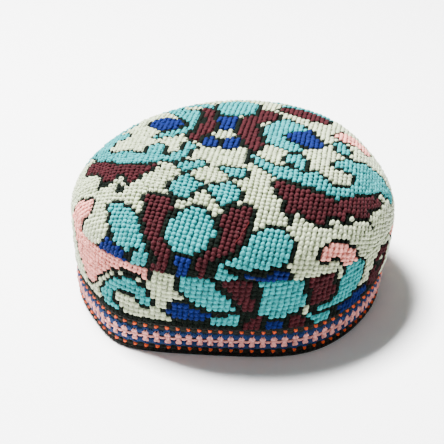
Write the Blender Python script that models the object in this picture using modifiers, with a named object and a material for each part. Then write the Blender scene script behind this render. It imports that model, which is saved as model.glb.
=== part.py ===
"""Embroidered skullcap: a domed crown, an upright side band and a woven edge braid.

Metres, +Z up, the wearer's front at -Y. The origin is on the surface that the cap
rests on, at the middle of its outline. Each piece is a cloth wall of even
thickness, open below, and each is seated on its neighbour along a sewn seam.
"""

import math

import bmesh
import bpy

# Driving sizes
BASE_RADIUS = 0.0975        # round outline where the cap rests, before its straight front
FRONT_DISTANCE = 0.085      # from the middle of that outline to the straight front
FRONT_TURN = -5             # degrees that the straight front is turned to the cap's right
FOLD_HEIGHT = 0.060         # height of the fold between side band and crown
CROWN_HEIGHT = 0.103        # top of the crown above the surface
BRAID_HEIGHT = 0.0208       # woven braid round the lower edge
CROWN_WALL = 0.0025         # embroidered cloth of the crown
BAND_WALL = 0.0025          # embroidered cloth of the side band
BRAID_WALL = 0.0030         # cloth with the braid wrapped round its edge
UPRIGHT_EDGE = 0.002        # the wall runs upright this far at its foot and its fold
SEAM_GAP = 0.0003           # sewn edges stay this far apart
CROWN_OVERHANG = 0.0035     # most that the crown bulges past the fold
CROWN_LEAN_X = 0.020        # how far the crown's flat top has slumped to the cap's left
CROWN_LEAN_Y = -0.004       # and to its back

# Form of the crown and the side band
SHOULDER_SQUARENESS = 4.3   # higher keeps the top flat further out
SHOULDER_ROUNDING = 0.80    # lower makes the sides of the crown steeper
OVERHANG_SPAN = 0.6         # share of the crown's rise that bulges out
FRONT_CORNERS = 12          # higher makes the two corners of the straight front tighter

# Outline of the cap in twelve directions, counted anticlockwise from +X, with the
# front at 270 degrees. base_share and fold_share are shares of BASE_RADIUS,
# height_share of FOLD_HEIGHT and overhang_share of CROWN_OVERHANG.
OUTLINE = (
    # direction, base_share, fold_share, height_share, overhang_share
    (0, 0.965, 1.03, 0.81, 0.7),
    (30, 1.005, 1.045, 0.82, 0.6),
    (60, 1.01, 1.04, 0.85, 0.6),
    (90, 1.00, 1.025, 0.90, 0.6),
    (120, 0.99, 1.00, 0.92, 0.6),
    (150, 0.98, 0.99, 0.95, 0.5),
    (180, 0.965, 0.98, 0.96, 0.5),
    (210, 0.955, 0.98, 0.97, 0.7),
    (240, 1.06, 0.975, 0.96, 1.0),
    (270, 1.08, 0.985, 0.96, 1.0),
    (300, 0.98, 1.01, 0.90, 0.7),
    (330, 0.945, 1.005, 0.87, 0.7),
)
BASE_SHARE, FOLD_SHARE, HEIGHT_SHARE, OVERHANG_SHARE = 1, 2, 3, 4

# Fineness of the faceted surfaces
DIRECTIONS = 72
BRAID_ROWS = 2
BAND_ROWS = 4
CROWN_ROWS = 16
CROWN_ROW_CROWDING = 1.8    # rows lie closer together towards the fold

COLOURS = {
    "crown": (0.62, 0.66, 0.58),
    "side_band": (0.55, 0.62, 0.58),
    "edge_braid": (0.06, 0.12, 0.28),
}
CLOTH_ROUGHNESS = 0.9


def share_at(column, angle):
    """A column of OUTLINE at any angle, on a smooth closed curve through its rows."""
    count = len(OUTLINE)
    place = angle / (2 * math.pi) * count
    first = math.floor(place)
    t = place - first
    before, start, end, after = (OUTLINE[(first + k) % count][column] for k in (-1, 0, 1, 2))
    bend = (end - before) * t
    bend += (2 * before - 5 * start + 4 * end - after) * t**2
    bend += (3 * start - before - 3 * end + after) * t**3
    return start + bend / 2


def fold_height(angle):
    return FOLD_HEIGHT * share_at(HEIGHT_SHARE, angle)


def base_radius(angle):
    """The round outline, cut by the straight front with two soft corners."""
    round_part = BASE_RADIUS * share_at(BASE_SHARE, angle)
    off_front = math.cos(angle - math.radians(270 + FRONT_TURN))
    if off_front <= 0:
        return round_part
    reach = round_part * off_front / FRONT_DISTANCE
    return round_part * (1 + reach**FRONT_CORNERS) ** (-1 / FRONT_CORNERS)


def wall_point(angle, height):
    """A point on the outer face below the fold, upright at the foot and at the fold."""
    base = base_radius(angle)
    fold = BASE_RADIUS * share_at(FOLD_SHARE, angle)
    share = (height - UPRIGHT_EDGE) / (fold_height(angle) - 2 * UPRIGHT_EDGE)
    share = min(max(share, 0), 1)
    radius = base + (fold - base) * share**2 * (3 - 2 * share)
    return (radius * math.cos(angle), radius * math.sin(angle), height)


def crown_point(angle, reach):
    """A point on the crown's outer face: reach is 1 at the fold and 0 at the top."""
    rise = (1 - reach**SHOULDER_SQUARENESS) ** SHOULDER_ROUNDING
    bulge = math.sin(math.pi * min(rise / OVERHANG_SPAN, 1))
    radius = BASE_RADIUS * share_at(FOLD_SHARE, angle) * reach
    radius += CROWN_OVERHANG * share_at(OVERHANG_SHARE, angle) * bulge
    start = fold_height(angle) + SEAM_GAP
    height = start + (CROWN_HEIGHT - start) * rise
    x = radius * math.cos(angle) + CROWN_LEAN_X * (1 - reach)
    y = radius * math.sin(angle) + CROWN_LEAN_Y * (1 - reach)
    return (x, y, height)


def angles():
    return [2 * math.pi * k / DIRECTIONS for k in range(DIRECTIONS)]


def braid_rings():
    top = BRAID_HEIGHT - SEAM_GAP
    heights = [0]
    heights += [UPRIGHT_EDGE + (top - UPRIGHT_EDGE) * k / BRAID_ROWS for k in range(BRAID_ROWS + 1)]
    return [[wall_point(a, z) for a in angles()] for z in heights]


def band_height(angle, share):
    """A height on the side band, from its lower edge to just under the fold."""
    return BRAID_HEIGHT + (fold_height(angle) - UPRIGHT_EDGE - BRAID_HEIGHT) * share


def band_rings():
    shares = [k / BAND_ROWS for k in range(BAND_ROWS + 1)]
    rings = [[wall_point(a, band_height(a, share)) for a in angles()] for share in shares]
    return rings + [[wall_point(a, fold_height(a)) for a in angles()]]


def crown_reaches():
    return [1 - (k / CROWN_ROWS) ** CROWN_ROW_CROWDING for k in range(CROWN_ROWS)]


def crown_rings():
    return [[crown_point(a, reach) for a in angles()] for reach in crown_reaches()]


def outline_middle():
    """The middle of the cap's outline seen from above."""
    skin = [point for ring in braid_rings() + band_rings() + crown_rings() for point in ring]
    return [(min(p[axis] for p in skin) + max(p[axis] for p in skin)) / 2 for axis in (0, 1)]


def loft(name, rings, peak=None):
    """An open skin through closed rings of points, with a fan up to a peak if given."""
    mesh = bpy.data.meshes.new(name)
    bm = bmesh.new()
    rows = [[bm.verts.new(point) for point in ring] for ring in rings]
    for low, high in zip(rows, rows[1:]):
        for k in range(DIRECTIONS):
            n = (k + 1) % DIRECTIONS
            bm.faces.new((low[k], low[n], high[n], high[k]))
    if peak:
        top = bm.verts.new(peak)
        last = rows[-1]
        for k in range(DIRECTIONS):
            bm.faces.new((last[k], last[(k + 1) % DIRECTIONS], top))
    bm.to_mesh(mesh)
    bm.free()
    return bpy.data.objects.new(name, mesh)


def cloth_material(name):
    material = bpy.data.materials.new(name)
    material.use_nodes = True
    shader = material.node_tree.nodes["Principled BSDF"]
    shader.inputs["Base Color"].default_value = (*COLOURS[name], 1)
    shader.inputs["Roughness"].default_value = CLOTH_ROUGHNESS
    shader.inputs["Metallic"].default_value = 0
    return material


def cloth_piece(collection, name, rings, wall, peak=None):
    """A cloth wall: the outer skin, thickened inwards, over the origin."""
    piece = loft(name, rings, peak)
    middle_x, middle_y = outline_middle()
    piece.location = (-middle_x, -middle_y, 0)
    collection.objects.link(piece)
    piece.data.materials.append(cloth_material(name))
    piece.data.shade_smooth()
    thick = piece.modifiers.new("cloth thickness", "SOLIDIFY")
    thick.thickness = wall
    thick.offset = -1
    thick.use_even_offset = True
    return piece


def main():
    for old in list(bpy.data.objects):
        bpy.data.objects.remove(old, do_unlink=True)
    skullcap = bpy.data.collections.new("skullcap")
    bpy.context.scene.collection.children.link(skullcap)
    cloth_piece(skullcap, "edge_braid", braid_rings(), BRAID_WALL)
    cloth_piece(skullcap, "side_band", band_rings(), BAND_WALL)
    cloth_piece(skullcap, "crown", crown_rings(), CROWN_WALL, peak=crown_point(0, 0))


main()
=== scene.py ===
"""Looks of the embroidered skullcap.

Cloth shells for the crown, the side band and the edge, covered with cross stitch
in coloured yarn, each stitch a mesh of its own, and the woven braid round the
lower edge. The pattern is charted in columns and rows of stitches.
Metres, +Z up, the front at -Y, in the frame of the CAD.
"""

import bpy
import numpy as np
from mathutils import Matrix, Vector


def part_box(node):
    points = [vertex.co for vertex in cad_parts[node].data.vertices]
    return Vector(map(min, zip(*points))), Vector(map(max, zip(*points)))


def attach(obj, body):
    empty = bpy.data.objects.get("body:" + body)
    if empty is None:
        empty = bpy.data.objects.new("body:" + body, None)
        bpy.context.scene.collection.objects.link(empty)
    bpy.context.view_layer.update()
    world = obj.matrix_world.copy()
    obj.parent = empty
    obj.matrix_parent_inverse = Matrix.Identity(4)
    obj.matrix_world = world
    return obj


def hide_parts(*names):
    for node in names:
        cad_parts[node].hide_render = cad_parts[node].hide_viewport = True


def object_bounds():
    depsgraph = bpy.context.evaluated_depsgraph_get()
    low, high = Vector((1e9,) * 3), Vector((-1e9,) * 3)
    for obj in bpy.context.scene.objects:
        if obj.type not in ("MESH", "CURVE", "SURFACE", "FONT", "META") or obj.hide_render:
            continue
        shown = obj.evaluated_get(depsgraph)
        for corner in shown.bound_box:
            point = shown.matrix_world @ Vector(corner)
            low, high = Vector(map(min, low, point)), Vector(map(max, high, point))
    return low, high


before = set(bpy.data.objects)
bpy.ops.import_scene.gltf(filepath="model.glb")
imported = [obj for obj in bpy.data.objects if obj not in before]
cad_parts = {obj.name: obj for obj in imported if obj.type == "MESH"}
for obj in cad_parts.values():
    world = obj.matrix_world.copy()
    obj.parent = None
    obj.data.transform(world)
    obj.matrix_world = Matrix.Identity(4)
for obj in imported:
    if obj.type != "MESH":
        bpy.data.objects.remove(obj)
CAD_LOW, CAD_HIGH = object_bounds()

# Form of the cap, as in the part's source
BASE_RADIUS = 0.0975
FRONT_DISTANCE = 0.085
FRONT_TURN = -5
FOLD_HEIGHT = 0.060
CROWN_HEIGHT = CAD_HIGH.z
BRAID_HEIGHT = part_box("side_band")[0][2]
UPRIGHT_EDGE = 0.002
SEAM_GAP = 0.0003
CROWN_OVERHANG = 0.0035
CROWN_LEAN_X = 0.020
CROWN_LEAN_Y = -0.004
SHOULDER_SQUARENESS = 4.3
SHOULDER_ROUNDING = 0.80
OVERHANG_SPAN = 0.6
FRONT_CORNERS = 12
CROWN_ROW_CROWDING = 1.8
OUTLINE = np.array((
    # direction, base_share, fold_share, height_share, overhang_share
    (0, 0.965, 1.03, 0.81, 0.7),
    (30, 1.005, 1.045, 0.82, 0.6),
    (60, 1.01, 1.04, 0.85, 0.6),
    (90, 1.00, 1.025, 0.90, 0.6),
    (120, 0.99, 1.00, 0.92, 0.6),
    (150, 0.98, 0.99, 0.95, 0.5),
    (180, 0.965, 0.98, 0.96, 0.5),
    (210, 0.955, 0.98, 0.97, 0.7),
    (240, 1.06, 0.975, 0.96, 1.0),
    (270, 1.08, 0.985, 0.96, 1.0),
    (300, 0.98, 1.01, 0.90, 0.7),
    (330, 0.945, 1.005, 0.87, 0.7),
))
BASE_SHARE, FOLD_SHARE, HEIGHT_SHARE, OVERHANG_SHARE = 1, 2, 3, 4
CROWN_WALL = 0.0025
BAND_WALL = 0.0025
BRAID_WALL = 0.0030

# Cloth and stitches
PILE = 0.0008               # the ground cloth lies this far inside the stitched face
CLOTH_DIRECTIONS = 144
CLOTH_LEVELS = 36
WALL_DIRECTIONS = 1441      # directions that the wall's length is measured over
BAND_LEVELS = 9
BRAID_LEVELS = 7
SEED = 7
COLUMN_PITCH = 0.00298      # from one column of stitches to the next, on the crown
ROW_PITCH = 0.00262         # from one row to the next, on the crown
WALL_ROW_PITCH = 0.00295
CHART_COLUMN = 0.00325      # one step of the motif charts to the right
CHART_ROW = 0.00295         # one step of the motif charts to the back, or up the wall
CHART_STEP = 0.001          # spacing of the surface points between which a chart is read
TOP_LEAN = 0.15             # how far columns lean to the right going back, on the top
FRONT_LEAN = 0.28           # the same on the front slope
CHART_TOP_LEAN = 0.06       # the same for the motif charts
CHART_FRONT_LEAN = 0.25
ROW_FALLS = (0.28, -4.25, -20)      # how far rows fall forward across the crown, by powers of metres
WALL_LEAN = 0.12            # columns by which the wall's columns lean to the left, for each row down
FRONT_SHOULDER = -0.062     # where the top turns into the front slope, from the ridge
SHOULDER_BEND = 0.010       # the lean changes over this length
WALL_COLUMNS = 182
WALL_REPEAT = 91            # columns after which the wall's pattern comes again
WALL_ROWS = 14
CROWN_REACH = 64            # columns and rows of the crown's stitches each way from its middle
LEAST_CELL = 0.4            # a stitch with less of its cell left than this is left out
TOP_LEG_ACROSS = 0.62       # share of the cell that the top leg crosses
TOP_LEG_ALONG = 1.22
TOP_LEG_WIDTH = 0.00272
TOP_LEG_RISE = 0.00120
UNDER_LEG_ACROSS = 1.00
UNDER_LEG_ALONG = 0.95
UNDER_LEG_WIDTH = 0.00330
UNDER_LEG_RISE = 0.00035
OUTLINE_LOWNESS = 0.5       # the black outline stitches are lower than the rest
STITCH_WOBBLE = 0.00020
UNDER_LEG_RINGS = 4         # points along, and sides round, an under leg
UNDER_LEG_SIDES = 4
REAR_TURN = (2, 5)          # the rear motifs are the front ones, turned about half of this

# Form of one leg of yarn
LEG_END = 0.07              # share of the swell's wave left off at each end
LEG_SWELL = 0.55            # lower keeps a leg full nearer to its ends
LEG_ARCH = 0.7              # the same for its height
LEG_FLATNESS = 0.62         # thickness as a share of width
WIDTH_SPREAD = (0.90, 1.08)
RISE_SPREAD = (0.82, 1.12)
TONE_LIMIT = 2              # most that one stitch's tone departs, in standard deviations

# Yarn colours, as screen values from 0 to 255
YARNS = {
    "ivory": (172, 183, 147),
    "turquoise": (34, 138, 140),
    "maroon": (54, 17, 22),
    "blue": (7, 25, 82),
    "pink": (222, 144, 132),
    "outline": (7, 14, 9),
    "orange": (208, 78, 34),
    "braid_blue": (14, 40, 80),
    "braid_pink": (208, 140, 134),
    "braid_black": (18, 20, 15),
    "loose_red": (96, 12, 17),
}
GROUND = (17, 20, 17)
STITCH_TONE = 0.12          # how far tones differ: from stitch to stitch, in clouds and by fibre
CLOUD_TONE = 0.35
FIBRE_TONE = 0.75
LEAST_TONE = 0.45
PLAIN_GLOSS = 0.2
GLOSS = {"ivory": 0.9, "outline": 0.0, "maroon": 0.05, "blue": 0.05}     # where it isn't PLAIN_GLOSS

# Camera, fitted to the outline of the cap in the photograph
CAMERA_ELEVATION = 28
CAMERA_DISTANCE = 0.9
CAMERA_TARGET = (0, 0, 0.045)      # before the outline is centred
FOCAL_PIXELS = 1457
PHOTO_PIXELS = 444
TARGET_PIXEL = (229.0, 219.6)
SENSOR = 36

# Stage: places, sizes and powers of the lights
FLOOR_REACH = 6
LIGHT_TARGET = (0, 0, 0.05)
KEY_LIGHT = ((-0.40, 0.28, 1.4), 0.4, 172)
FILL_LIGHT = ((0.9, -1.1, 0.7), 0.8, 2)
WORLD_STRENGTH = 0.25

# Motifs of the crown: colour and outline, in columns to the right of the middle and
# rows behind the ridge
FRONT_FLOWER = (
    ("turquoise", ((-3.3, -24.2), (-1.8, -25.1), (-0.8, -26.7), (0.8, -28.7), (1.3, -31), (0.6, -32.4),
                   (-1.7, -33.4), (-4, -32.7), (-6.3, -31.4), (-8, -29.4), (-8.6, -27.3), (-8, -26),
                   (-6.6, -24.9), (-5, -24))),
    ("maroon", ((-13.4, -18), (-10.7, -19.6), (-8.3, -21.4), (-8, -23.2), (-9, -25), (-9.4, -27),
                (-8.5, -29), (-6.8, -31.2), (-6, -33), (-5.7, -36), (-9.5, -36), (-10, -32.6),
                (-11.4, -28), (-12.7, -25), (-13, -22))),
    ("turquoise", ((-20.6, -16.8), (-17.8, -18.5), (-15, -21.4), (-13.6, -24.2), (-12.8, -26.7),
                   (-11.2, -28.8), (-12.2, -29.4), (-15.3, -28.2), (-17.6, -26), (-19, -23.7),
                   (-20, -20.5))),
    ("blue", ((-20, -23.2), (-18.2, -26.2), (-15.4, -28.5), (-15, -32), (-19, -31), (-22.5, -27),
              (-21.8, -23.5))),
    ("turquoise", ((-14.6, -29.6), (-12.5, -29.8), (-11, -30), (-9.5, -32), (-10.6, -33.5),
                   (-14, -32.5))),
    ("blue", ((-5.3, -33.4), (-2, -34.2), (-1.7, -38.2), (-4.8, -38))),
    ("maroon", ((1.7, -26), (3, -24.8), (5.8, -24.6), (6.4, -27.5), (6.2, -30.3), (5.3, -32.4),
                (4.4, -34), (1.5, -34.4), (1.5, -36.4), (0.8, -39), (-1.2, -39), (-1.4, -34.6),
                (-0.6, -33.5), (1, -32.6), (1.7, -30), (1.5, -27.6))),
    ("turquoise", ((2.1, -35.4), (3.3, -35.3), (4.3, -36.5), (5.3, -37.8), (7.8, -38.5), (7.4, -40),
                   (3.2, -39), (2, -37))),
    ("turquoise", ((7.2, -30), (9.7, -28.6), (12.8, -28.6), (14.5, -30.2), (14, -31.4),
                   (14.6, -34.3), (13.4, -35.4), (10.4, -36.6), (5.4, -36.4), (4.3, -35.6),
                   (4.2, -34.8), (5.9, -33.4), (7, -31.3))),
    ("blue", ((8, -38), (11.7, -37.7), (13.3, -36.2), (14.7, -36.5), (14.7, -40), (8.2, -41))),
)
LATTICE = (
    ("turquoise", ((-9.9, -17.7), (-6.4, -15.2), (-3.5, -18.6), (-5.5, -21.2), (-7.5, -21.2))),
    ("turquoise", ((-2.4, -19.6), (1, -18.4), (4, -20.9), (2.6, -23.2), (0.7, -23.8))),
    ("turquoise", ((-8.8, -10.4), (-6, -11.3), (-3.6, -10.8), (-4.1, -13), (-6.7, -14.2),
                   (-8.2, -12.6))),
    ("turquoise", ((-0.7, -12.8), (1.5, -14.3), (4, -14), (4.1, -16.8), (1.7, -16.9), (0.2, -15))),
    ("outline", ((3.6, -5.6), (4.7, -5.6), (4.4, -12.5), (3.3, -12.5))),
)
LEFT_CRESCENT = (
    ("turquoise", ((-24, -0.5), (-19.9, -5.9), (-14.9, -8.7), (-10.3, -9.8), (-8.2, -9.8),
                   (-6, -5.4), (-6.3, -2.6), (-7.3, -2.6), (-7.8, -6.5), (-10.5, -7.6),
                   (-12.4, -6.6), (-11.2, -4.1), (-12.5, -2), (-14.3, -2.9), (-14.8, -5.1),
                   (-16.8, -4.7), (-18.7, -2.2), (-21.1, -0.9), (-23, 0.6), (-23.8, 3),
                   (-22.6, 6), (-19.6, 5.4), (-19.6, 7.2), (-22.6, 10.8), (-25.2, 11), (-27.2, 6),
                   (-26, 1))),
    ("maroon", ((-28, 2.4), (-26.4, 1), (-25, -0.8), (-20, -6.6), (-15, -9.8), (-11.8, -10.8),
                (-13.2, -11.4), (-15.5, -12.4), (-16, -13.3), (-18, -14), (-17.8, -11.8),
                (-18.7, -10.4), (-20.6, -9.3), (-20.8, -10.2), (-23.2, -9.3), (-23.5, -8.6),
                (-22.7, -7.6), (-24.6, -5.6), (-26.5, -3.1), (-28.6, -1.3))),
    ("outline", ((-23.8, -8.6), (-21.3, -10.2), (-21.6, -11), (-24.4, -10.6), (-25, -9.8))),
    ("outline", ((-19.6, -12.4), (-18.2, -13.6), (-18.6, -15), (-19.8, -14.6))),
)
LEFT_HOOK = (
    ("pink", ((-25.4, -12), (-30.2, -8.2), (-34, -9), (-34, -16), (-28.4, -20), (-27.8, -16),
              (-27.4, -14.2), (-25, -14.8))),
)
RIGHT_CRESCENT = (
    ("turquoise", ((4.4, -7.2), (5.8, -9.7), (7.7, -12.1), (9.6, -13.8), (11.8, -13.6),
                   (14.8, -13.8), (16.6, -14), (18.5, -15.4), (20, -16.5), (22.4, -14.6),
                   (24.1, -12.2), (23.9, -10), (22, -9.8), (20.2, -10.8), (19.8, -9.4),
                   (22.3, -6.6), (26.7, -4), (30.4, -1.3), (33, -2.3), (35, -1.6), (35, -5),
                   (30, -7.7), (25, -13.6), (22.5, -16.2), (20.2, -18.7), (18.7, -18.4),
                   (16.1, -17.9), (14.3, -18.2), (12.5, -17.5), (10, -16.7), (8.3, -15.4),
                   (6.2, -12.9), (5, -10.6))),
    ("turquoise", ((10.4, -10), (11.8, -8.6), (13.7, -9), (14.3, -11.8), (14.8, -14.1),
                   (12.6, -14.2), (12.7, -11.5), (11.2, -11.5))),
    ("maroon", ((8.8, -17.4), (10.1, -17.9), (12.6, -18.7), (15.1, -19.2), (16.5, -19.2),
                (18.8, -19.4), (20.4, -19.2), (22.5, -16.8), (25.1, -14.3), (27.8, -11.6),
                (29.8, -10.6), (31.3, -11), (27.8, -14.2), (25.8, -16.5), (26.9, -16.8),
                (26.7, -18), (25, -19.2), (23.3, -20), (22.6, -19.8), (22.5, -21.5),
                (22.4, -22.3), (21.1, -22.5), (19.7, -22.5), (18.7, -22.9), (18.7, -24.9),
                (17.3, -25.4), (15.6, -25.1), (14.9, -24.1), (14.1, -23.6), (13.3, -22.4),
                (13.2, -25.2), (12.4, -25), (11, -21.6), (9.6, -19.8))),
    ("outline", ((26.4, -18.2), (27.2, -17.4), (28.8, -18.2), (28, -19), (26.6, -19))),
    ("outline", ((22.4, -22.6), (23, -21.6), (24.4, -21.4), (24.2, -22.2), (22.8, -23.2))),
    ("outline", ((18.6, -25), (19.4, -24.2), (20.6, -24.6), (20.4, -25.6), (19, -26))),
    ("outline", ((12.6, -25.4), (13.8, -25.4), (13.9, -27.2), (13, -27.2))),
)
RIGHT_HOOK = (
    ("pink", ((19.8, -32.5), (19.4, -30.6), (20.4, -28.8), (21.7, -27.3), (23.3, -26.7),
              (25.2, -26.8), (26.4, -28.5), (26, -31), (24.6, -31.8), (23.5, -30.6),
              (22.3, -30.2), (21.2, -31.4), (20.6, -33))),
)
TOP_FLOWER = (
    ("turquoise", ((-3.2, 14.8), (-2.6, 19), (0, 21), (4.3, 19), (5, 14.5), (4.3, 11.8),
                   (0, 10.6), (-2.3, 11.4))),
    ("blue", ((-2.3, 9.4), (1, 9.4), (1, 3.5), (-2.2, 3.6))),
    ("blue", ((-4.6, -1), (-2.8, 0), (-1.9, -2.5), (-1.9, -4.7), (-3.7, -4.7), (-4.7, -2.8))),
    ("blue", ((-0.8, -1.3), (1.8, -1), (2.3, -3.5), (1.2, -5.6), (-0.7, -5.4), (-1, -3))),
    ("maroon", ((-5.8, 15.2), (-3.6, 15), (-3.2, 10.6), (-3.2, 5.7), (-3.4, 2), (-4.8, 0.6),
                (-6.5, -2.2), (-7.2, -0.6), (-6.3, 2.9), (-5.2, 5.8), (-4.8, 10))),
    ("maroon", ((2, 9), (4.8, 10.2), (5, 14.6), (6.4, 13.3), (8.7, 10.9), (9, 8.5), (6.5, 7.2),
                (4.9, 5.8), (4.9, 3.8), (6, -0.5), (6.4, -3.8), (5.6, -6.6), (3.8, -6),
                (3.3, -3), (2, 0.7), (1.9, 4.8))),
    ("turquoise", ((-10.6, 13.2), (-7.9, 14.6), (-6.4, 13.5), (-6, 10), (-6.2, 6.5), (-7.8, 2.8),
                   (-10, 1.2), (-13.8, 0.6), (-13.2, 3), (-10, 2.8), (-7.9, 5.2), (-8, 8.4),
                   (-10, 10.4))),
    ("blue", ((-15.8, 10.8), (-13.2, 11.6), (-10.4, 9.4), (-8.8, 6.4), (-10.3, 3.9),
              (-13.1, 4.6), (-14.9, 7))),
    ("turquoise", ((5.8, 1.3), (6.2, 4.4), (8.1, 6), (9.6, 7.6), (11, 7.8), (12.9, 5),
                   (14.7, 3), (13, 2.4), (9.8, 0.9), (9.8, -0.7), (13, -4.9), (14.4, -6.6),
                   (11.3, -6.9), (9.5, -5.2), (7.6, -2.9), (6.6, -1.6))),
    ("blue", ((10.4, 0.2), (12.3, 1.7), (14.9, 2.3), (15.7, 0), (17.7, -4), (15.3, -5.2),
              (13.1, -4))),
)
TOP_RIGHT = (
    ("maroon", ((9, 14.4), (11.2, 15.8), (15.2, 14.6), (18.6, 11.2), (18.2, 7.8), (14.9, 8.8),
                (12.9, 10.2), (10.4, 12.4))),
    ("turquoise", ((9, 17.6), (12, 19), (17, 17), (19.5, 13), (18.8, 12.2), (15.4, 15.8),
                   (11.2, 17))),
    ("pink", ((19.3, 2.6), (21.7, 5), (24.9, 5.8), (28, 5), (28, 2.2), (25, 1.2), (22.9, 1.4),
              (20.7, 0.6))),
    ("turquoise", ((19.6, -1.3), (21.5, -0.9), (22.6, -3.5), (21.5, -5.8), (20, -4.7))),
)
CROWN_FRONT = (*FRONT_FLOWER, *LATTICE, *LEFT_CRESCENT, *LEFT_HOOK, *RIGHT_CRESCENT,
               *RIGHT_HOOK, *TOP_FLOWER, *TOP_RIGHT)
CROWN_REAR = (*FRONT_FLOWER, *LATTICE[:2], *RIGHT_CRESCENT, *LEFT_HOOK, *RIGHT_HOOK)

# A strand come loose on the right maroon petal of the front, by chart column and row
LOOSE_STRAND = ((6.1, -27.4), (5.9, -28.4), (5.5, -29.4), (5.2, -30.6), (4.6, -31.8))
STRAND_WIDTH = 0.0004
STRAND_LIFT = 0.0012        # how far above the crown's face the strand lies

# Motifs of the wall, in columns to the right of the middle of the front and rows
# above the braid
WALL_MOTIFS = (
    ("pink", ((-33.6, 6.3), (-30.4, 3.2), (-28.8, 3.2), (-25, 7), (-22, 9.5), (-20, 10.8),
              (-16, 11.4), (-15.6, 10), (-13.9, 10), (-13.9, 14), (-20, 15), (-37, 15),
              (-35, 9))),
    ("turquoise", ((-25, 3), (-24.2, 5.3), (-22.3, 7.4), (-20, 8.5), (-17.4, 8.7), (-15.4, 8),
                   (-13.8, 5.2), (-14.1, 4), (-15.3, 3.5), (-16.9, 3.6), (-16.2, 5.2),
                   (-18, 6.1), (-20, 6.1), (-21.6, 4.7), (-22.6, 2.8), (-22, 1.9), (-20, 2.4),
                   (-20, 0.6), (-23, 0.6), (-24.7, 1.4))),
    ("blue", ((-11, 2.8), (-10, 5), (-8.8, 6.3), (-7, 5.7), (-5.5, 4.6), (-3.3, 4.1),
              (-3.3, 2.7), (-6, 1.9), (-9.5, 1.7))),
    ("turquoise", ((-8.3, 15), (-4, 15), (-2.4, 11.6), (-1.1, 9.1), (0.5, 6.7), (0.8, 4.7),
                   (-1.5, 4.7), (-3.3, 5.1), (-5, 6.2), (-6.7, 7.2), (-7.8, 8.2), (-8.3, 10))),
    ("turquoise", ((-3.4, 2.2), (-1.6, 3.1), (0.5, 3.9), (2, 3.9), (2.8, 2.6), (1, 1.4),
                   (-0.9, 0.7), (-3, 0.7))),
    ("maroon", ((-0.6, 15), (4.4, 15), (4.2, 9), (4.2, 4.6), (2.4, 4.6), (1.7, 7), (0.3, 9.4),
                (-1, 12))),
    ("maroon", ((3.2, 3.2), (5.6, 3.6), (5.6, 0.5), (3, 0.5))),
    ("turquoise", ((5.4, 15), (9, 15), (11.5, 15), (12.8, 9), (13.2, 6.5), (12.6, 5),
                   (11.3, 4), (9.2, 3.4), (7, 3.4), (5.2, 4.7), (4.9, 8))),
    ("blue", ((6.6, 2.5), (9.5, 2.5), (9.5, -0.6), (6.6, -0.6))),
    ("maroon", ((13.9, 15), (18.9, 15), (18.9, 5.8), (17.5, 5.1), (15.3, 4.6), (14, 6))),
    ("maroon", ((10.4, 2.6), (11.6, 3.1), (13.1, 2.4), (13.8, 0.5), (10.4, 0.5))),
    ("turquoise", ((23, 15), (25.6, 15), (26.4, 7), (25.2, 4.4), (23.2, 3.4), (20.6, 2.9),
                   (18, 2.9), (16.2, 3.4), (16.6, 4.2), (19, 4.4), (19.9, 5.5), (19.9, 8),
                   (21, 9.2), (22.4, 11))),
    ("turquoise", ((13.8, 2.9), (15, 2.2), (18.8, 1.9), (19.6, 0.6), (17.6, 0.4), (15.2, 0.5),
                   (14.2, 1.3))),
    ("blue", ((28.6, 3.3), (27, 3.2), (25, 2.9), (23.5, 2.1), (20.4, 2), (20.2, 0.6),
              (24.4, 0.2), (27, 0.3), (29.3, 1))),
    ("maroon", ((29.9, 2.2), (30.4, 5.8), (32.6, 8.6), (36.7, 8.4), (37.4, 4), (34.5, 1.6),
                (32.3, 1))),
    ("ivory", ((32.6, 4), (32.6, 6.4), (34, 7.6), (35.2, 6), (34.6, 4))),
    ("pink", ((38.5, 9), (41, 15), (48, 15), (46, 9.5), (42, 7.5))),
    ("turquoise", ((40, 1.4), (41, 5.5), (44.5, 6.8), (48.5, 5.4), (49, 1.6), (46, 3),
                   (43, 3.2))),
)

# The braid: one repeat holds a pink star with a bar to the next, blue yarn round them
# and an orange dot above and below. Heights are above the surface it rests on.
BRAID_REPEATS = 93
BRAID_START = 0.19          # share of a repeat by which the stars lie to the right of the middle
TOP_DOT_HEIGHT = 0.0182
BOTTOM_DOT_HEIGHT = 0.0042
STAR_HEIGHT = 0.0108
HORN_RISE = 0.0040
HORN_SPREAD = 0.0015
BLUE_PLACES = (0.30, 0.50, 0.70)    # upright blue yarns between two stars, in repeats
BLUE_LOW = 0.0012           # the blue runs from this far off the stars' middle
BLUE_HIGH = 0.0050
EDGE_HEIGHTS = (0.0199, 0.0016)     # black yarn along the braid's two edges
BRAID_SINK = 0.0005         # the braid's yarn starts and ends this far inside the face
BRAID_WOBBLE = 0.012        # in repeats
BRAID_LEG_RINGS = 5

# Width and rise of the braid's yarns
HORN_YARN = (0.0024, 0.0010)
STAR_YARN = (0.0030, 0.0011)
BAR_YARN = (0.0018, 0.0008)
BLUE_YARN = (0.0026, 0.0006)
BLUE_EDGE_YARN = (0.0020, 0.0003)
DOT_YARN = (0.0023, 0.0008)
BLACK_YARN = (0.0019, 0.0004)


def share_at(column, angle):
    """A column of OUTLINE at any angle, on a smooth closed curve through its rows."""
    place = np.asarray(angle) / (2 * np.pi) * len(OUTLINE)
    first = np.floor(place).astype(int)
    t = place - first
    before, start, end, after = (OUTLINE[(first + k) % len(OUTLINE), column] for k in (-1, 0, 1, 2))
    bend = (end - before) * t
    bend += (2 * before - 5 * start + 4 * end - after) * t**2
    bend += (3 * start - before - 3 * end + after) * t**3
    return start + bend / 2


def fold_height(angle):
    return FOLD_HEIGHT * share_at(HEIGHT_SHARE, angle)


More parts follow.
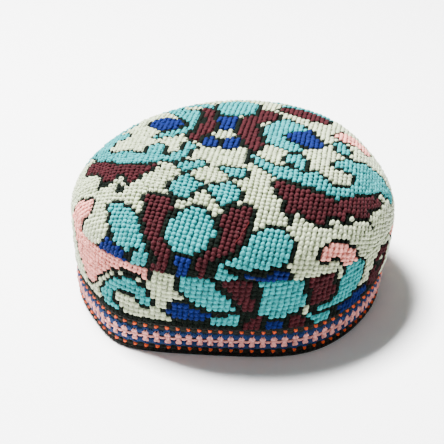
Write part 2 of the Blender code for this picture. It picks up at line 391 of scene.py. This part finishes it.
def base_radius(angle):
    """The round outline, cut by the straight front with two soft corners."""
    round_part = BASE_RADIUS * share_at(BASE_SHARE, angle)
    off_front = np.cos(angle - np.radians(270 + FRONT_TURN))
    reach = np.maximum(round_part * off_front / FRONT_DISTANCE, 0)
    return round_part * (1 + reach**FRONT_CORNERS) ** (-1 / FRONT_CORNERS)


def wall_point(angle, height):
    """Points on the outer face below the fold."""
    base = base_radius(angle)
    fold = BASE_RADIUS * share_at(FOLD_SHARE, angle)
    share = (height - UPRIGHT_EDGE) / (fold_height(angle) - 2 * UPRIGHT_EDGE)
    share = np.clip(share, 0, 1)
    radius = base + (fold - base) * share**2 * (3 - 2 * share)
    x = radius * np.cos(angle) - MIDDLE[0]
    y = radius * np.sin(angle) - MIDDLE[1]
    return np.stack(np.broadcast_arrays(x, y, height), axis=-1)


def crown_point(angle, reach):
    """Points on the crown's outer face: reach is 1 at the fold and 0 at the top."""
    rise = (1 - reach**SHOULDER_SQUARENESS) ** SHOULDER_ROUNDING
    bulge = np.sin(np.pi * np.minimum(rise / OVERHANG_SPAN, 1))
    radius = BASE_RADIUS * share_at(FOLD_SHARE, angle) * reach
    radius = radius + CROWN_OVERHANG * share_at(OVERHANG_SHARE, angle) * bulge
    start = fold_height(angle) + SEAM_GAP
    height = start + (CROWN_HEIGHT - start) * rise
    x = radius * np.cos(angle) + CROWN_LEAN_X * (1 - reach) - MIDDLE[0]
    y = radius * np.sin(angle) + CROWN_LEAN_Y * (1 - reach) - MIDDLE[1]
    return np.stack(np.broadcast_arrays(x, y, height), axis=-1)


def turn_angles(count):
    return 2 * np.pi * np.arange(count) / count


def crown_levels(count):
    """Reaches from the fold to just short of the top, closer together at the fold."""
    return 1 - (np.arange(count) / count) ** CROWN_ROW_CROWDING


def outline_middle():
    """The middle of the outline seen from above, before the cap is centred."""
    turn = turn_angles(CLOTH_DIRECTIONS)
    skin = [wall_point(turn, height) for height in np.linspace(0, FOLD_HEIGHT, CLOTH_LEVELS)]
    skin += [crown_point(turn, level) for level in crown_levels(CLOTH_LEVELS)]
    skin = np.concatenate(skin)
    return (skin.min(axis=0) + skin.max(axis=0))[:2] / 2


# The outline's middle is found with no shift, and the points are then shifted by it
MIDDLE = (0, 0)
MIDDLE = outline_middle()


def along(points):
    """Distance along a row of points from its first."""
    steps = np.linalg.norm(np.diff(points, axis=0), axis=1)
    return np.concatenate(([0], np.cumsum(steps)))


def resample(points, places, wanted):
    return np.stack([np.interp(wanted, places, points[:, axis]) for axis in range(3)], axis=-1)


class CrownChart:
    """The crown's face by distance: across along its left to right ridge, then back from it."""

    DEPTH = 0.150           # more than the way from the ridge to the fold
    LEVELS = 160
    HALF_TURN = 361         # directions over half a turn

    def __init__(self):
        levels = np.append(crown_levels(self.LEVELS), 0)
        ridge = np.concatenate((crown_point(np.pi, levels), crown_point(0.0, levels[:-1])[::-1]))
        widest = slice(np.argmin(ridge[:, 0]), np.argmax(ridge[:, 0]) + 1)
        ridge = ridge[widest]
        places = along(ridge)
        middle = np.interp(0, ridge[:, 0] + MIDDLE[0], places)
        self.first = -np.floor(middle / CHART_STEP) * CHART_STEP
        across = np.arange(self.first, places[-1] - middle, CHART_STEP)
        peaks = resample(ridge, places, across + middle)
        self.back = np.arange(-self.DEPTH, self.DEPTH, CHART_STEP)
        front = self.lines(peaks, levels, np.linspace(np.pi, 2 * np.pi, self.HALF_TURN))
        rear = self.lines(peaks, levels, np.linspace(np.pi, 0, self.HALF_TURN))
        self.front_edge = np.array([-along(line)[-1] for line in front])
        self.rear_edge = np.array([along(line)[-1] for line in rear])
        ahead = self.back < 0
        self.table = np.zeros((len(across), len(self.back), 3))
        for k, (near, far) in enumerate(zip(front, rear)):
            self.table[k, ahead] = resample(near, along(near), -self.back[ahead])
            self.table[k, ~ahead] = resample(far, along(far), self.back[~ahead])

    def lines(self, peaks, levels, angles):
        """The crown's section through each peak, from the ridge to the fold on one side."""
        rings = []
        for level in levels:
            ring = crown_point(angles, level)
            section = crown_point(np.interp(peaks[:, 0], ring[:, 0], angles), level)
            section[(peaks[:, 0] < ring[0, 0]) | (peaks[:, 0] > ring[-1, 0])] = np.nan
            rings.append(section)
        rings = np.array(rings)
        sections = []
        for k, peak in enumerate(peaks):
            line = rings[:, k]
            line = line[~np.isnan(line[:, 0])][::-1]
            sections.append(np.vstack((peak, line)))
        return sections

    def edges(self, across):
        steps = self.first + CHART_STEP * np.arange(len(self.front_edge))
        return (np.interp(across, steps, self.front_edge),
                np.interp(across, steps, self.rear_edge))

    def point(self, across, back):
        """Points on the crown, stopped at the fold."""
        front_edge, rear_edge = self.edges(across)
        back = np.clip(back, front_edge, rear_edge)
        place = np.clip((across - self.first) / CHART_STEP, 0, len(self.table) - 1.001)
        depth = (back + self.DEPTH) / CHART_STEP
        i, j = place.astype(int), depth.astype(int)
        s, t = (place - i)[..., None], (depth - j)[..., None]
        near = self.table[i, j] * (1 - s) + self.table[i + 1, j] * s
        far = self.table[i, j + 1] * (1 - s) + self.table[i + 1, j + 1] * s
        return near * (1 - t) + far * t


def column_lean(back, top_lean, front_lean):
    """How far a column has leant to the right at a distance back from the ridge."""
    ahead = (FRONT_SHOULDER - back) / SHOULDER_BEND
    beyond = SHOULDER_BEND * np.logaddexp(0, ahead)
    return top_lean * back - (front_lean - top_lean) * beyond


def crown_place(column, row):
    """Across and back of a place in the crown's grid of stitches."""
    level = ROW_PITCH * row
    across = COLUMN_PITCH * column + column_lean(level, TOP_LEAN, FRONT_LEAN)
    fall = sum(share * across ** (power + 1) for power, share in enumerate(ROW_FALLS))
    return across, level - fall


def crown_cells(chart, column, row):
    return chart.point(*crown_place(column, row))


def crown_chart_place(column, row):
    """Where a place in the crown's grid of stitches lies in the motif charts."""
    across, back = crown_place(column, row)
    lean = column_lean(back, CHART_TOP_LEAN, CHART_FRONT_LEAN)
    return (across - lean) / CHART_COLUMN, back / CHART_ROW


def wall_angle(column):
    """The angle of a column, spaced evenly along the wall at half its height."""
    turn = np.linspace(0, 2 * np.pi, WALL_DIRECTIONS)
    places = along(wall_point(turn + 1.5 * np.pi, (BRAID_HEIGHT + FOLD_HEIGHT) / 2))
    share = np.mod(column / WALL_COLUMNS, 1)
    return np.interp(share * places[-1], places, turn) + 1.5 * np.pi


def wall_chart_place(column, row):
    """Where a place in the wall's grid of stitches lies in the motif chart."""
    around = column + WALL_LEAN * row
    around = np.mod(around + WALL_REPEAT / 2, WALL_REPEAT) - WALL_REPEAT / 2
    return around, row + 0.5


def wall_cells(column, row):
    angle = wall_angle(column + WALL_LEAN * row)
    height = BRAID_HEIGHT + WALL_ROW_PITCH * (row + 0.5)
    return wall_point(angle, np.clip(height, BRAID_HEIGHT, fold_height(angle)))


def within(outline, x, y):
    """Which points lie inside a closed outline."""
    inside = np.zeros(x.shape, bool)
    for (x0, y0), (x1, y1) in zip(outline, outline[1:] + outline[:1]):
        if y0 == y1:
            continue
        crosses = (y0 > y) != (y1 > y)
        inside ^= crosses & (x < (x1 - x0) * (y - y0) / (y1 - y0) + x0)
    return inside


def turned(motifs):
    """The same motifs turned half round."""
    across, back = REAR_TURN
    return [(colour, tuple((across - x, back - y) for x, y in outline)) for colour, outline in motifs]


def neighbours(chart):
    """The chart moved by one stitch each way."""
    return [np.roll(chart, step, axis) for axis in (0, 1) for step in (-1, 1)]


def charted(x, y, motif_sets):
    """Colour number of each stitch, with an outline of one stitch round every motif."""
    colours = list(YARNS)
    chart = np.full(x.shape, colours.index("ivory"))
    for motifs in motif_sets:
        motif = np.zeros(x.shape, int)
        edge = np.zeros(x.shape, bool)
        for number, (colour, outline) in enumerate(motifs, 1):
            if colour == "outline":
                edge |= within(outline, x, y)
            else:
                motif[within(outline, x, y)] = number
        nearby = neighbours(motif)
        edge = (motif == 0) & (edge | (np.max(nearby, axis=0) > 0))
        for beside in nearby[:2]:
            edge |= (motif > 0) & (beside > 0) & (beside != motif)
        for number, (colour, _) in enumerate(motifs, 1):
            chart[motif == number] = colours.index(colour)
        chart[edge] = colours.index("outline")
    return chart


def leg_form(rings, sides):
    """Places along and round one leg of a stitch, and its faces."""
    t = np.linspace(0, 1, rings)
    swell = np.sin(np.pi * (LEG_END + (1 - 2 * LEG_END) * t)) ** LEG_SWELL
    arch = np.sin(np.pi * t) ** LEG_ARCH
    turn = 2 * np.pi * (np.arange(sides) + 0.5) / sides
    faces = []
    for k in range(rings - 1):
        for m in range(sides):
            n = (m + 1) % sides
            faces.append((k * sides + m, k * sides + n, (k + 1) * sides + n, (k + 1) * sides + m))
    last = (rings - 1) * sides
    for m in range(0, sides - 2, 2):
        ahead, beyond = m + 1, m + 2
        third = (m + 3) % sides
        faces.append((0, third, beyond, ahead))
        faces.append((last, last + ahead, last + beyond, last + third))
    return t, swell, arch, turn, np.array(faces)


def legs(starts, ends, normals, width, rise, rng, rings=6, sides=6):
    """Yarn from start to end of each leg, arched over the cloth: points, faces, tone and UV."""
    t, swell, arch, turn, faces = leg_form(rings, sides)
    count = len(starts)
    axis = ends - starts
    side = np.cross(normals, axis)
    side /= np.linalg.norm(side, axis=1, keepdims=True)
    width = width * rng.uniform(*WIDTH_SPREAD, count)
    rise = rise * rng.uniform(*RISE_SPREAD, count)
    centre = starts[:, None] + axis[:, None] * t[None, :, None]
    lift = rise[:, None] * arch[None]
    half = width[:, None] / 2 * swell[None]
    out = half[..., None] * np.cos(turn)
    up = lift[..., None] + half[..., None] * LEG_FLATNESS * np.sin(turn)
    points = centre[:, :, None] + side[:, None, None] * out[..., None]
    points = points + normals[:, None, None] * up[..., None]
    per_leg = rings * sides
    quads = (faces[None] + per_leg * np.arange(count)[:, None, None]).reshape(-1, 4)
    tone = np.repeat(rng.normal(0, 1, count).clip(-TONE_LIMIT, TONE_LIMIT), per_leg)
    length = np.linalg.norm(axis, axis=1)
    u = (length[:, None, None] * t[None, :, None] + 0 * turn) / COLUMN_PITCH
    u = u + rng.uniform(0, 1, count)[:, None, None]
    v = np.broadcast_to(turn / (2 * np.pi), u.shape)
    return points.reshape(-1, 3), quads, tone, np.stack((u, v), axis=-1).reshape(-1, 2)


def mesh_piece(name, points, quads, material):
    mesh = bpy.data.meshes.new(name)
    mesh.vertices.add(len(points))
    mesh.vertices.foreach_set("co", points.astype(np.float32).ravel())
    mesh.loops.add(quads.size)
    mesh.loops.foreach_set("vertex_index", quads.astype(np.int32).ravel())
    mesh.polygons.add(len(quads))
    mesh.polygons.foreach_set("loop_start", np.arange(0, quads.size, 4, dtype=np.int32))
    mesh.update(calc_edges=True)
    mesh.validate()
    mesh.shade_smooth()
    mesh.materials.append(material)
    piece = bpy.data.objects.new(name, mesh)
    bpy.context.scene.collection.objects.link(piece)
    return piece


def yarn_piece(name, groups, material):
    """One mesh of all the legs in groups, with a tone and a UV map along the yarn."""
    shift = np.cumsum([0] + [len(group[0]) for group in groups])
    points = np.concatenate([group[0] for group in groups])
    quads = np.concatenate([group[1] + start for group, start in zip(groups, shift)])
    piece = mesh_piece(name, points, quads, material)
    tone = np.concatenate([group[2] for group in groups]).astype(np.float32)
    piece.data.attributes.new("tone", "FLOAT", "POINT").data.foreach_set("value", tone)
    uv = np.concatenate([group[3] for group in groups])
    corners = np.zeros(len(piece.data.loops), dtype=np.int32)
    piece.data.loops.foreach_get("vertex_index", corners)
    layer = piece.data.uv_layers.new(name="yarn")
    layer.data.foreach_set("uv", uv[corners].astype(np.float32).ravel())
    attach(piece, "root")
    return piece


def linear(colour):
    """Screen values from 0 to 255 as a linear colour."""
    share = np.array(colour) / 255
    low = share / 12.92
    high = ((share + 0.055) / 1.055) ** 2.4
    return (*np.where(share <= 0.04045, low, high), 1)


def material_nodes(name):
    material = bpy.data.materials.new(name)
    material.use_nodes = True
    tree = material.node_tree
    return material, tree, tree.nodes["Principled BSDF"]


def math_node(tree, operation, first, second):
    node = tree.nodes.new("ShaderNodeMath")
    node.operation = operation
    for socket, value in zip(node.inputs, (first, second)):
        if isinstance(value, (int, float)):
            socket.default_value = value
        else:
            tree.links.new(value, socket)
    return node.outputs[0]


def yarn_material(name, gloss):
    """Twisted yarn: each stitch has its own tone, plies cross it at a slant, and fine fuzz."""
    material, tree, shader = material_nodes(f"yarn {name}")
    tone = tree.nodes.new("ShaderNodeAttribute")
    tone.attribute_name = "tone"
    cloud = tree.nodes.new("ShaderNodeTexNoise")
    cloud.inputs["Scale"].default_value = 45
    cloud.inputs["Detail"].default_value = 3
    by_stitch = math_node(tree, "MULTIPLY_ADD", tone.outputs["Fac"], STITCH_TONE)
    by_stitch.node.inputs[2].default_value = LEAST_TONE
    by_cloud = math_node(tree, "MULTIPLY_ADD", cloud.outputs["Fac"], CLOUD_TONE)
    tree.links.new(by_stitch, by_cloud.node.inputs[2])
    fibre = tree.nodes.new("ShaderNodeTexNoise")
    fibre.inputs["Scale"].default_value = 900
    fibre.inputs["Detail"].default_value = 3
    mottle = math_node(tree, "MULTIPLY_ADD", fibre.outputs["Fac"], FIBRE_TONE)
    tree.links.new(by_cloud, mottle.node.inputs[2])
    tint = tree.nodes.new("ShaderNodeHueSaturation")
    tint.inputs["Color"].default_value = linear(YARNS[name])
    tree.links.new(mottle, tint.inputs["Value"])
    tree.links.new(tint.outputs["Color"], shader.inputs["Base Color"])
    shader.inputs["Roughness"].default_value = 0.85 - 0.45 * gloss
    shader.inputs["Specular IOR Level"].default_value = 0.06 + 0.5 * gloss
    shader.inputs["Sheen Weight"].default_value = 0.15 * gloss
    shader.inputs["Sheen Roughness"].default_value = 0.4
    place = tree.nodes.new("ShaderNodeUVMap")
    place.uv_map = "yarn"
    plies = tree.nodes.new("ShaderNodeTexWave")
    plies.bands_direction = "DIAGONAL"
    plies.inputs["Scale"].default_value = 1.6
    plies.inputs["Distortion"].default_value = 0.6
    tree.links.new(place.outputs["UV"], plies.inputs["Vector"])
    fuzz = tree.nodes.new("ShaderNodeTexNoise")
    fuzz.inputs["Scale"].default_value = 2600
    height = math_node(tree, "MULTIPLY_ADD", fuzz.outputs["Fac"], 0.5)
    tree.links.new(plies.outputs["Fac"], height.node.inputs[2])
    bump = tree.nodes.new("ShaderNodeBump")
    bump.inputs["Strength"].default_value = 0.8
    bump.inputs["Distance"].default_value = 0.0003
    tree.links.new(height, bump.inputs["Height"])
    tree.links.new(bump.outputs["Normal"], shader.inputs["Normal"])
    return material


def cloth_material(name, colour):
    """Plain woven cloth: crossing threads and slightly uneven dye."""
    material, tree, shader = material_nodes(name)
    place = tree.nodes.new("ShaderNodeTexCoord")
    threads = []
    for direction in ("X", "Y", "Z"):
        wave = tree.nodes.new("ShaderNodeTexWave")
        wave.bands_direction = direction
        wave.inputs["Scale"].default_value = 320
        wave.inputs["Distortion"].default_value = 0.8
        tree.links.new(place.outputs["Object"], wave.inputs["Vector"])
        threads.append(wave.outputs["Fac"])
    weave = math_node(tree, "MULTIPLY", math_node(tree, "ADD", threads[0], threads[1]), threads[2])
    cloud = tree.nodes.new("ShaderNodeTexNoise")
    cloud.inputs["Scale"].default_value = 60
    tree.links.new(place.outputs["Object"], cloud.inputs["Vector"])
    value = math_node(tree, "MULTIPLY_ADD", cloud.outputs["Fac"], 0.3)
    value.node.inputs[2].default_value = 0.85
    tint = tree.nodes.new("ShaderNodeHueSaturation")
    tint.inputs["Color"].default_value = linear(colour)
    tree.links.new(value, tint.inputs["Value"])
    tree.links.new(tint.outputs["Color"], shader.inputs["Base Color"])
    shader.inputs["Roughness"].default_value = 0.95
    shader.inputs["Sheen Weight"].default_value = 0.15
    bump = tree.nodes.new("ShaderNodeBump")
    bump.inputs["Strength"].default_value = 0.5
    bump.inputs["Distance"].default_value = 0.0002
    tree.links.new(weave, bump.inputs["Height"])
    tree.links.new(bump.outputs["Normal"], shader.inputs["Normal"])
    return material


def cloth_shell(name, rings, wall, inset, node, material, closed_top=False):
    """A closed cloth wall through rings of points, its outer face inset under the stitches."""
    count = len(rings[0])
    low = np.arange(count)
    nearby = np.roll(low, -1)
    quads = [np.stack((low + k * count, nearby + k * count, nearby + (k + 1) * count,
                       low + (k + 1) * count), axis=-1) for k in range(len(rings) - 1)]
    piece = mesh_piece(name, np.concatenate(rings), np.concatenate(quads), material)
    mesh = piece.data
    if closed_top:
        top = Vector(crown_point(0.0, 0.0))
        last = (len(rings) - 1) * count
        points = [vertex.co.copy() for vertex in mesh.vertices] + [top]
        faces = [tuple(face.vertices) for face in mesh.polygons]
        faces += [(last + k, last + (k + 1) % count, len(points) - 1) for k in range(count)]
        mesh.clear_geometry()
        mesh.from_pydata(points, [], faces)
        mesh.shade_smooth()
    normals = [vertex.normal.copy() for vertex in mesh.vertices]
    for vertex, normal in zip(mesh.vertices, normals):
        vertex.co -= normal * inset
    thick = piece.modifiers.new("cloth thickness", "SOLIDIFY")
    thick.thickness = wall - inset
    thick.offset = -1
    thick.use_even_offset = True
    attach(piece, "root")
    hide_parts(node)
    return piece


def stitches(chart, x, y, cell, prefix, materials, rng):
    """Cross stitches of a chart: an under leg and a raised top leg in each cell."""
    corners = {}
    for across in (-0.5, 0.5):
        for back in (-0.5, 0.5):
            corners[across, back] = cell(x + across, y + back)
    low_left, low_right = corners[-0.5, -0.5], corners[0.5, -0.5]
    high_left, high_right = corners[-0.5, 0.5], corners[0.5, 0.5]
    normal = np.cross(high_right - low_left, high_left - low_right)
    area = np.linalg.norm(normal, axis=-1) / 2
    kept = area > LEAST_CELL * COLUMN_PITCH * ROW_PITCH
    normal = normal / np.maximum(np.linalg.norm(normal, axis=-1, keepdims=True), 1e-12)
    pieces = []
    for number, colour in enumerate(YARNS):
        chosen = kept & (chart == number)
        halves = ["_left", "_right"] if colour == "ivory" and prefix == "crown" else [""]
        for half in halves:
            some = chosen
            if half:
                some = chosen & ((x < 0) == (half == "_left"))
            if not some.any():
                continue
            a, b, c, d = (grid[some] for grid in (low_left, low_right, high_left, high_right))
            face = normal[some]
            middle = (a + b + c + d) / 4 - face * PILE
            aside = (b + d - a - c) / 4
            ahead = (c + d - a - b) / 4
            wobble = rng.normal(0, STITCH_WOBBLE, (4, len(a), 3))
            low = OUTLINE_LOWNESS if colour == "outline" else 1.0
            slant = aside * TOP_LEG_ACROSS + ahead * TOP_LEG_ALONG
            top = legs(middle - slant + wobble[0], middle + slant + wobble[1], face,
                       TOP_LEG_WIDTH, TOP_LEG_RISE * low, rng)
            slant = aside * UNDER_LEG_ACROSS - ahead * UNDER_LEG_ALONG
            under = legs(middle - slant + wobble[2], middle + slant + wobble[3], face,
                         UNDER_LEG_WIDTH, UNDER_LEG_RISE * low, rng, UNDER_LEG_RINGS,
                         UNDER_LEG_SIDES)
            pieces.append(yarn_piece(f"{prefix}_{colour}{half}", [under, top], materials[colour]))
    return pieces


def loose_strand(chart, materials, rng):
    """One thin strand across the stitches of the front."""
    column, row = np.array(LOOSE_STRAND).T
    back = row * CHART_ROW
    across = column * CHART_COLUMN + column_lean(back, CHART_TOP_LEAN, CHART_FRONT_LEAN)
    points = chart.point(across, back)
    aside = chart.point(across + CHART_STEP, back) - points
    behind = chart.point(across, back + CHART_STEP) - points
    out = np.cross(aside, behind)
    out /= np.linalg.norm(out, axis=1, keepdims=True)
    points = points + out * STRAND_LIFT
    strand = legs(points[:-1], points[1:], out[:-1], STRAND_WIDTH, 0, rng)
    return yarn_piece("loose_strand", [strand], materials["loose_red"])


def braid_surface(place, height):
    """A point of the braid by repeat number and height, and the direction out of it."""
    angle = wall_angle((place + BRAID_START) / BRAID_REPEATS * WALL_COLUMNS)
    point = wall_point(angle, height)
    aside = wall_point(angle + 0.002, height) - point
    above = wall_point(angle, height + 0.0005) - point
    out = np.cross(aside, above)
    return point, out / np.linalg.norm(out, axis=-1, keepdims=True)


def braid_legs(from_place, from_height, to_place, to_height, width, rise, rng):
    """The same leg of yarn in every repeat of the braid."""
    count = np.arange(BRAID_REPEATS)
    wobble = rng.normal(0, BRAID_WOBBLE, (2, BRAID_REPEATS))
    start, out = braid_surface(count + from_place + wobble[0], np.full(len(count), from_height))
    end, _ = braid_surface(count + to_place + wobble[1], np.full(len(count), to_height))
    return legs(start - out * BRAID_SINK, end - out * BRAID_SINK, out, width, rise, rng,
                rings=BRAID_LEG_RINGS)


def braid(materials, rng):
    star, bar, blue, dots, black = [], [], [], [], []
    side = HORN_SPREAD / (2 * np.pi * BASE_RADIUS / BRAID_REPEATS)
    for up in (1, -1):
        for across in (-1, 1):
            star.append(braid_legs(0.02 * across, STAR_HEIGHT + 0.0006 * up, side * across,
                                   STAR_HEIGHT + HORN_RISE * up, *HORN_YARN, rng))
        for across in BLUE_PLACES:
            blue.append(braid_legs(across - 0.05, STAR_HEIGHT + BLUE_LOW * up, across + 0.05,
                                   STAR_HEIGHT + BLUE_HIGH * up, *BLUE_YARN, rng))
        blue.append(braid_legs(-0.28, STAR_HEIGHT + 0.0049 * up, 0.28, STAR_HEIGHT + 0.0051 * up,
                               *BLUE_EDGE_YARN, rng))
    star.append(braid_legs(-0.20, STAR_HEIGHT - 0.0008, 0.20, STAR_HEIGHT + 0.0008, *STAR_YARN, rng))
    bar.append(braid_legs(0.12, STAR_HEIGHT - 0.0002, 0.88, STAR_HEIGHT + 0.0002, *BAR_YARN, rng))
    for height in (TOP_DOT_HEIGHT, BOTTOM_DOT_HEIGHT):
        dots.append(braid_legs(-0.17, height + 0.0004, 0.17, height - 0.0004, *DOT_YARN, rng))
        black.append(braid_legs(0.28, height - 0.0003, 0.72, height + 0.0003, *BLACK_YARN, rng))
    for height in EDGE_HEIGHTS:
        for step in (0.0, 0.5):
            black.append(braid_legs(step - 0.26, height - 0.0003, step + 0.26, height + 0.0003,
                                    *BLACK_YARN, rng))
    groups = {"braid_pink": star + bar, "braid_blue": blue, "orange": dots, "braid_black": black}
    return [yarn_piece(f"braid_{name.removeprefix('braid_')}", yarns, materials[name])
            for name, yarns in groups.items()]


def pale_floor():
    """A pale floor that carries the cap."""
    mesh = bpy.data.meshes.new("floor")
    reach = FLOOR_REACH
    mesh.from_pydata([(-reach, -reach, 0), (reach, -reach, 0), (reach, reach, 0), (-reach, reach, 0)],
                     [], [(0, 1, 2, 3)])
    material, _, shader = material_nodes("pale floor")
    shader.inputs["Base Color"].default_value = (0.96, 0.96, 0.96, 1)
    shader.inputs["Roughness"].default_value = 0.9
    mesh.materials.append(material)
    floor = bpy.data.objects.new("floor", mesh)
    bpy.context.scene.collection.objects.link(floor)


def light(name, place, size, power):
    lamp = bpy.data.lights.new(name, "AREA")
    lamp.size = size
    lamp.energy = power
    holder = bpy.data.objects.new(name, lamp)
    holder.location = place
    holder.rotation_euler = (Vector(LIGHT_TARGET) - Vector(place)).to_track_quat("-Z", "Y").to_euler()
    bpy.context.scene.collection.objects.link(holder)


def lights():
    light("key light", *KEY_LIGHT)
    light("fill light", *FILL_LIGHT)
    world = bpy.data.worlds.new("studio")
    world.use_nodes = True
    world.node_tree.nodes["Background"].inputs["Color"].default_value = (1, 1, 1, 1)
    world.node_tree.nodes["Background"].inputs["Strength"].default_value = WORLD_STRENGTH
    bpy.context.scene.world = world


def camera():
    lens = bpy.data.cameras.new("camera")
    lens.sensor_width = SENSOR
    lens.lens = FOCAL_PIXELS * SENSOR / PHOTO_PIXELS
    lens.shift_x = (PHOTO_PIXELS / 2 - TARGET_PIXEL[0]) / PHOTO_PIXELS
    lens.shift_y = (TARGET_PIXEL[1] - PHOTO_PIXELS / 2) / PHOTO_PIXELS
    holder = bpy.data.objects.new("camera", lens)
    target = Vector(CAMERA_TARGET) - Vector((*MIDDLE, 0))
    tilt = np.radians(CAMERA_ELEVATION)
    away = Vector((0, -np.cos(tilt), np.sin(tilt)))
    holder.location = target + away * CAMERA_DISTANCE
    holder.rotation_euler = (-away).to_track_quat("-Z", "Y").to_euler()
    bpy.context.scene.collection.objects.link(holder)
    bpy.context.scene.camera = holder


def main():
    rng = np.random.default_rng(SEED)
    materials = {name: yarn_material(name, GLOSS.get(name, PLAIN_GLOSS)) for name in YARNS}
    ground = cloth_material("ground cloth", GROUND)
    turn = turn_angles(CLOTH_DIRECTIONS)
    crown_rings = [crown_point(turn, level) for level in crown_levels(CLOTH_LEVELS)]
    crown_cloth = cloth_shell("crown_cloth", crown_rings, CROWN_WALL, PILE, "crown",
                              ground, closed_top=True)
    shares = np.linspace(0, 1, BAND_LEVELS)
    band_rings = [wall_point(turn, BRAID_HEIGHT + (fold_height(turn) - BRAID_HEIGHT) * share)
                  for share in shares]
    band_cloth = cloth_shell("band_cloth", band_rings, BAND_WALL, PILE, "side_band",
                             ground)
    braid_heights = np.linspace(0, BRAID_HEIGHT - SEAM_GAP, BRAID_LEVELS)
    braid_rings = [wall_point(turn, height) for height in braid_heights]
    braid_cloth = cloth_shell("braid_cloth", braid_rings, BRAID_WALL, PILE / 2, "edge_braid",
                              materials["braid_black"])
    chart = CrownChart()
    reach = np.arange(-CROWN_REACH, CROWN_REACH + 1)
    x, y = np.meshgrid(reach, reach, indexing="ij")
    crown_colours = charted(*crown_chart_place(x, y), (turned(CROWN_REAR), CROWN_FRONT))
    crown_pieces = stitches(crown_colours, x, y, lambda column, row: crown_cells(chart, column, row),
                            "crown", materials, rng)
    crown_pieces.append(loose_strand(chart, materials, rng))
    x, y = np.meshgrid(np.arange(WALL_COLUMNS), np.arange(WALL_ROWS), indexing="ij")
    wall_colours = charted(*wall_chart_place(x, y), (WALL_MOTIFS,))
    lowest = wall_colours[:, 0]
    lowest[lowest == list(YARNS).index("ivory")] = list(YARNS).index("outline")
    wall_pieces = stitches(wall_colours, x, y, wall_cells, "wall", materials, rng)
    braid_pieces = braid(materials, rng)
    pale_floor()
    lights()
    camera()


main()
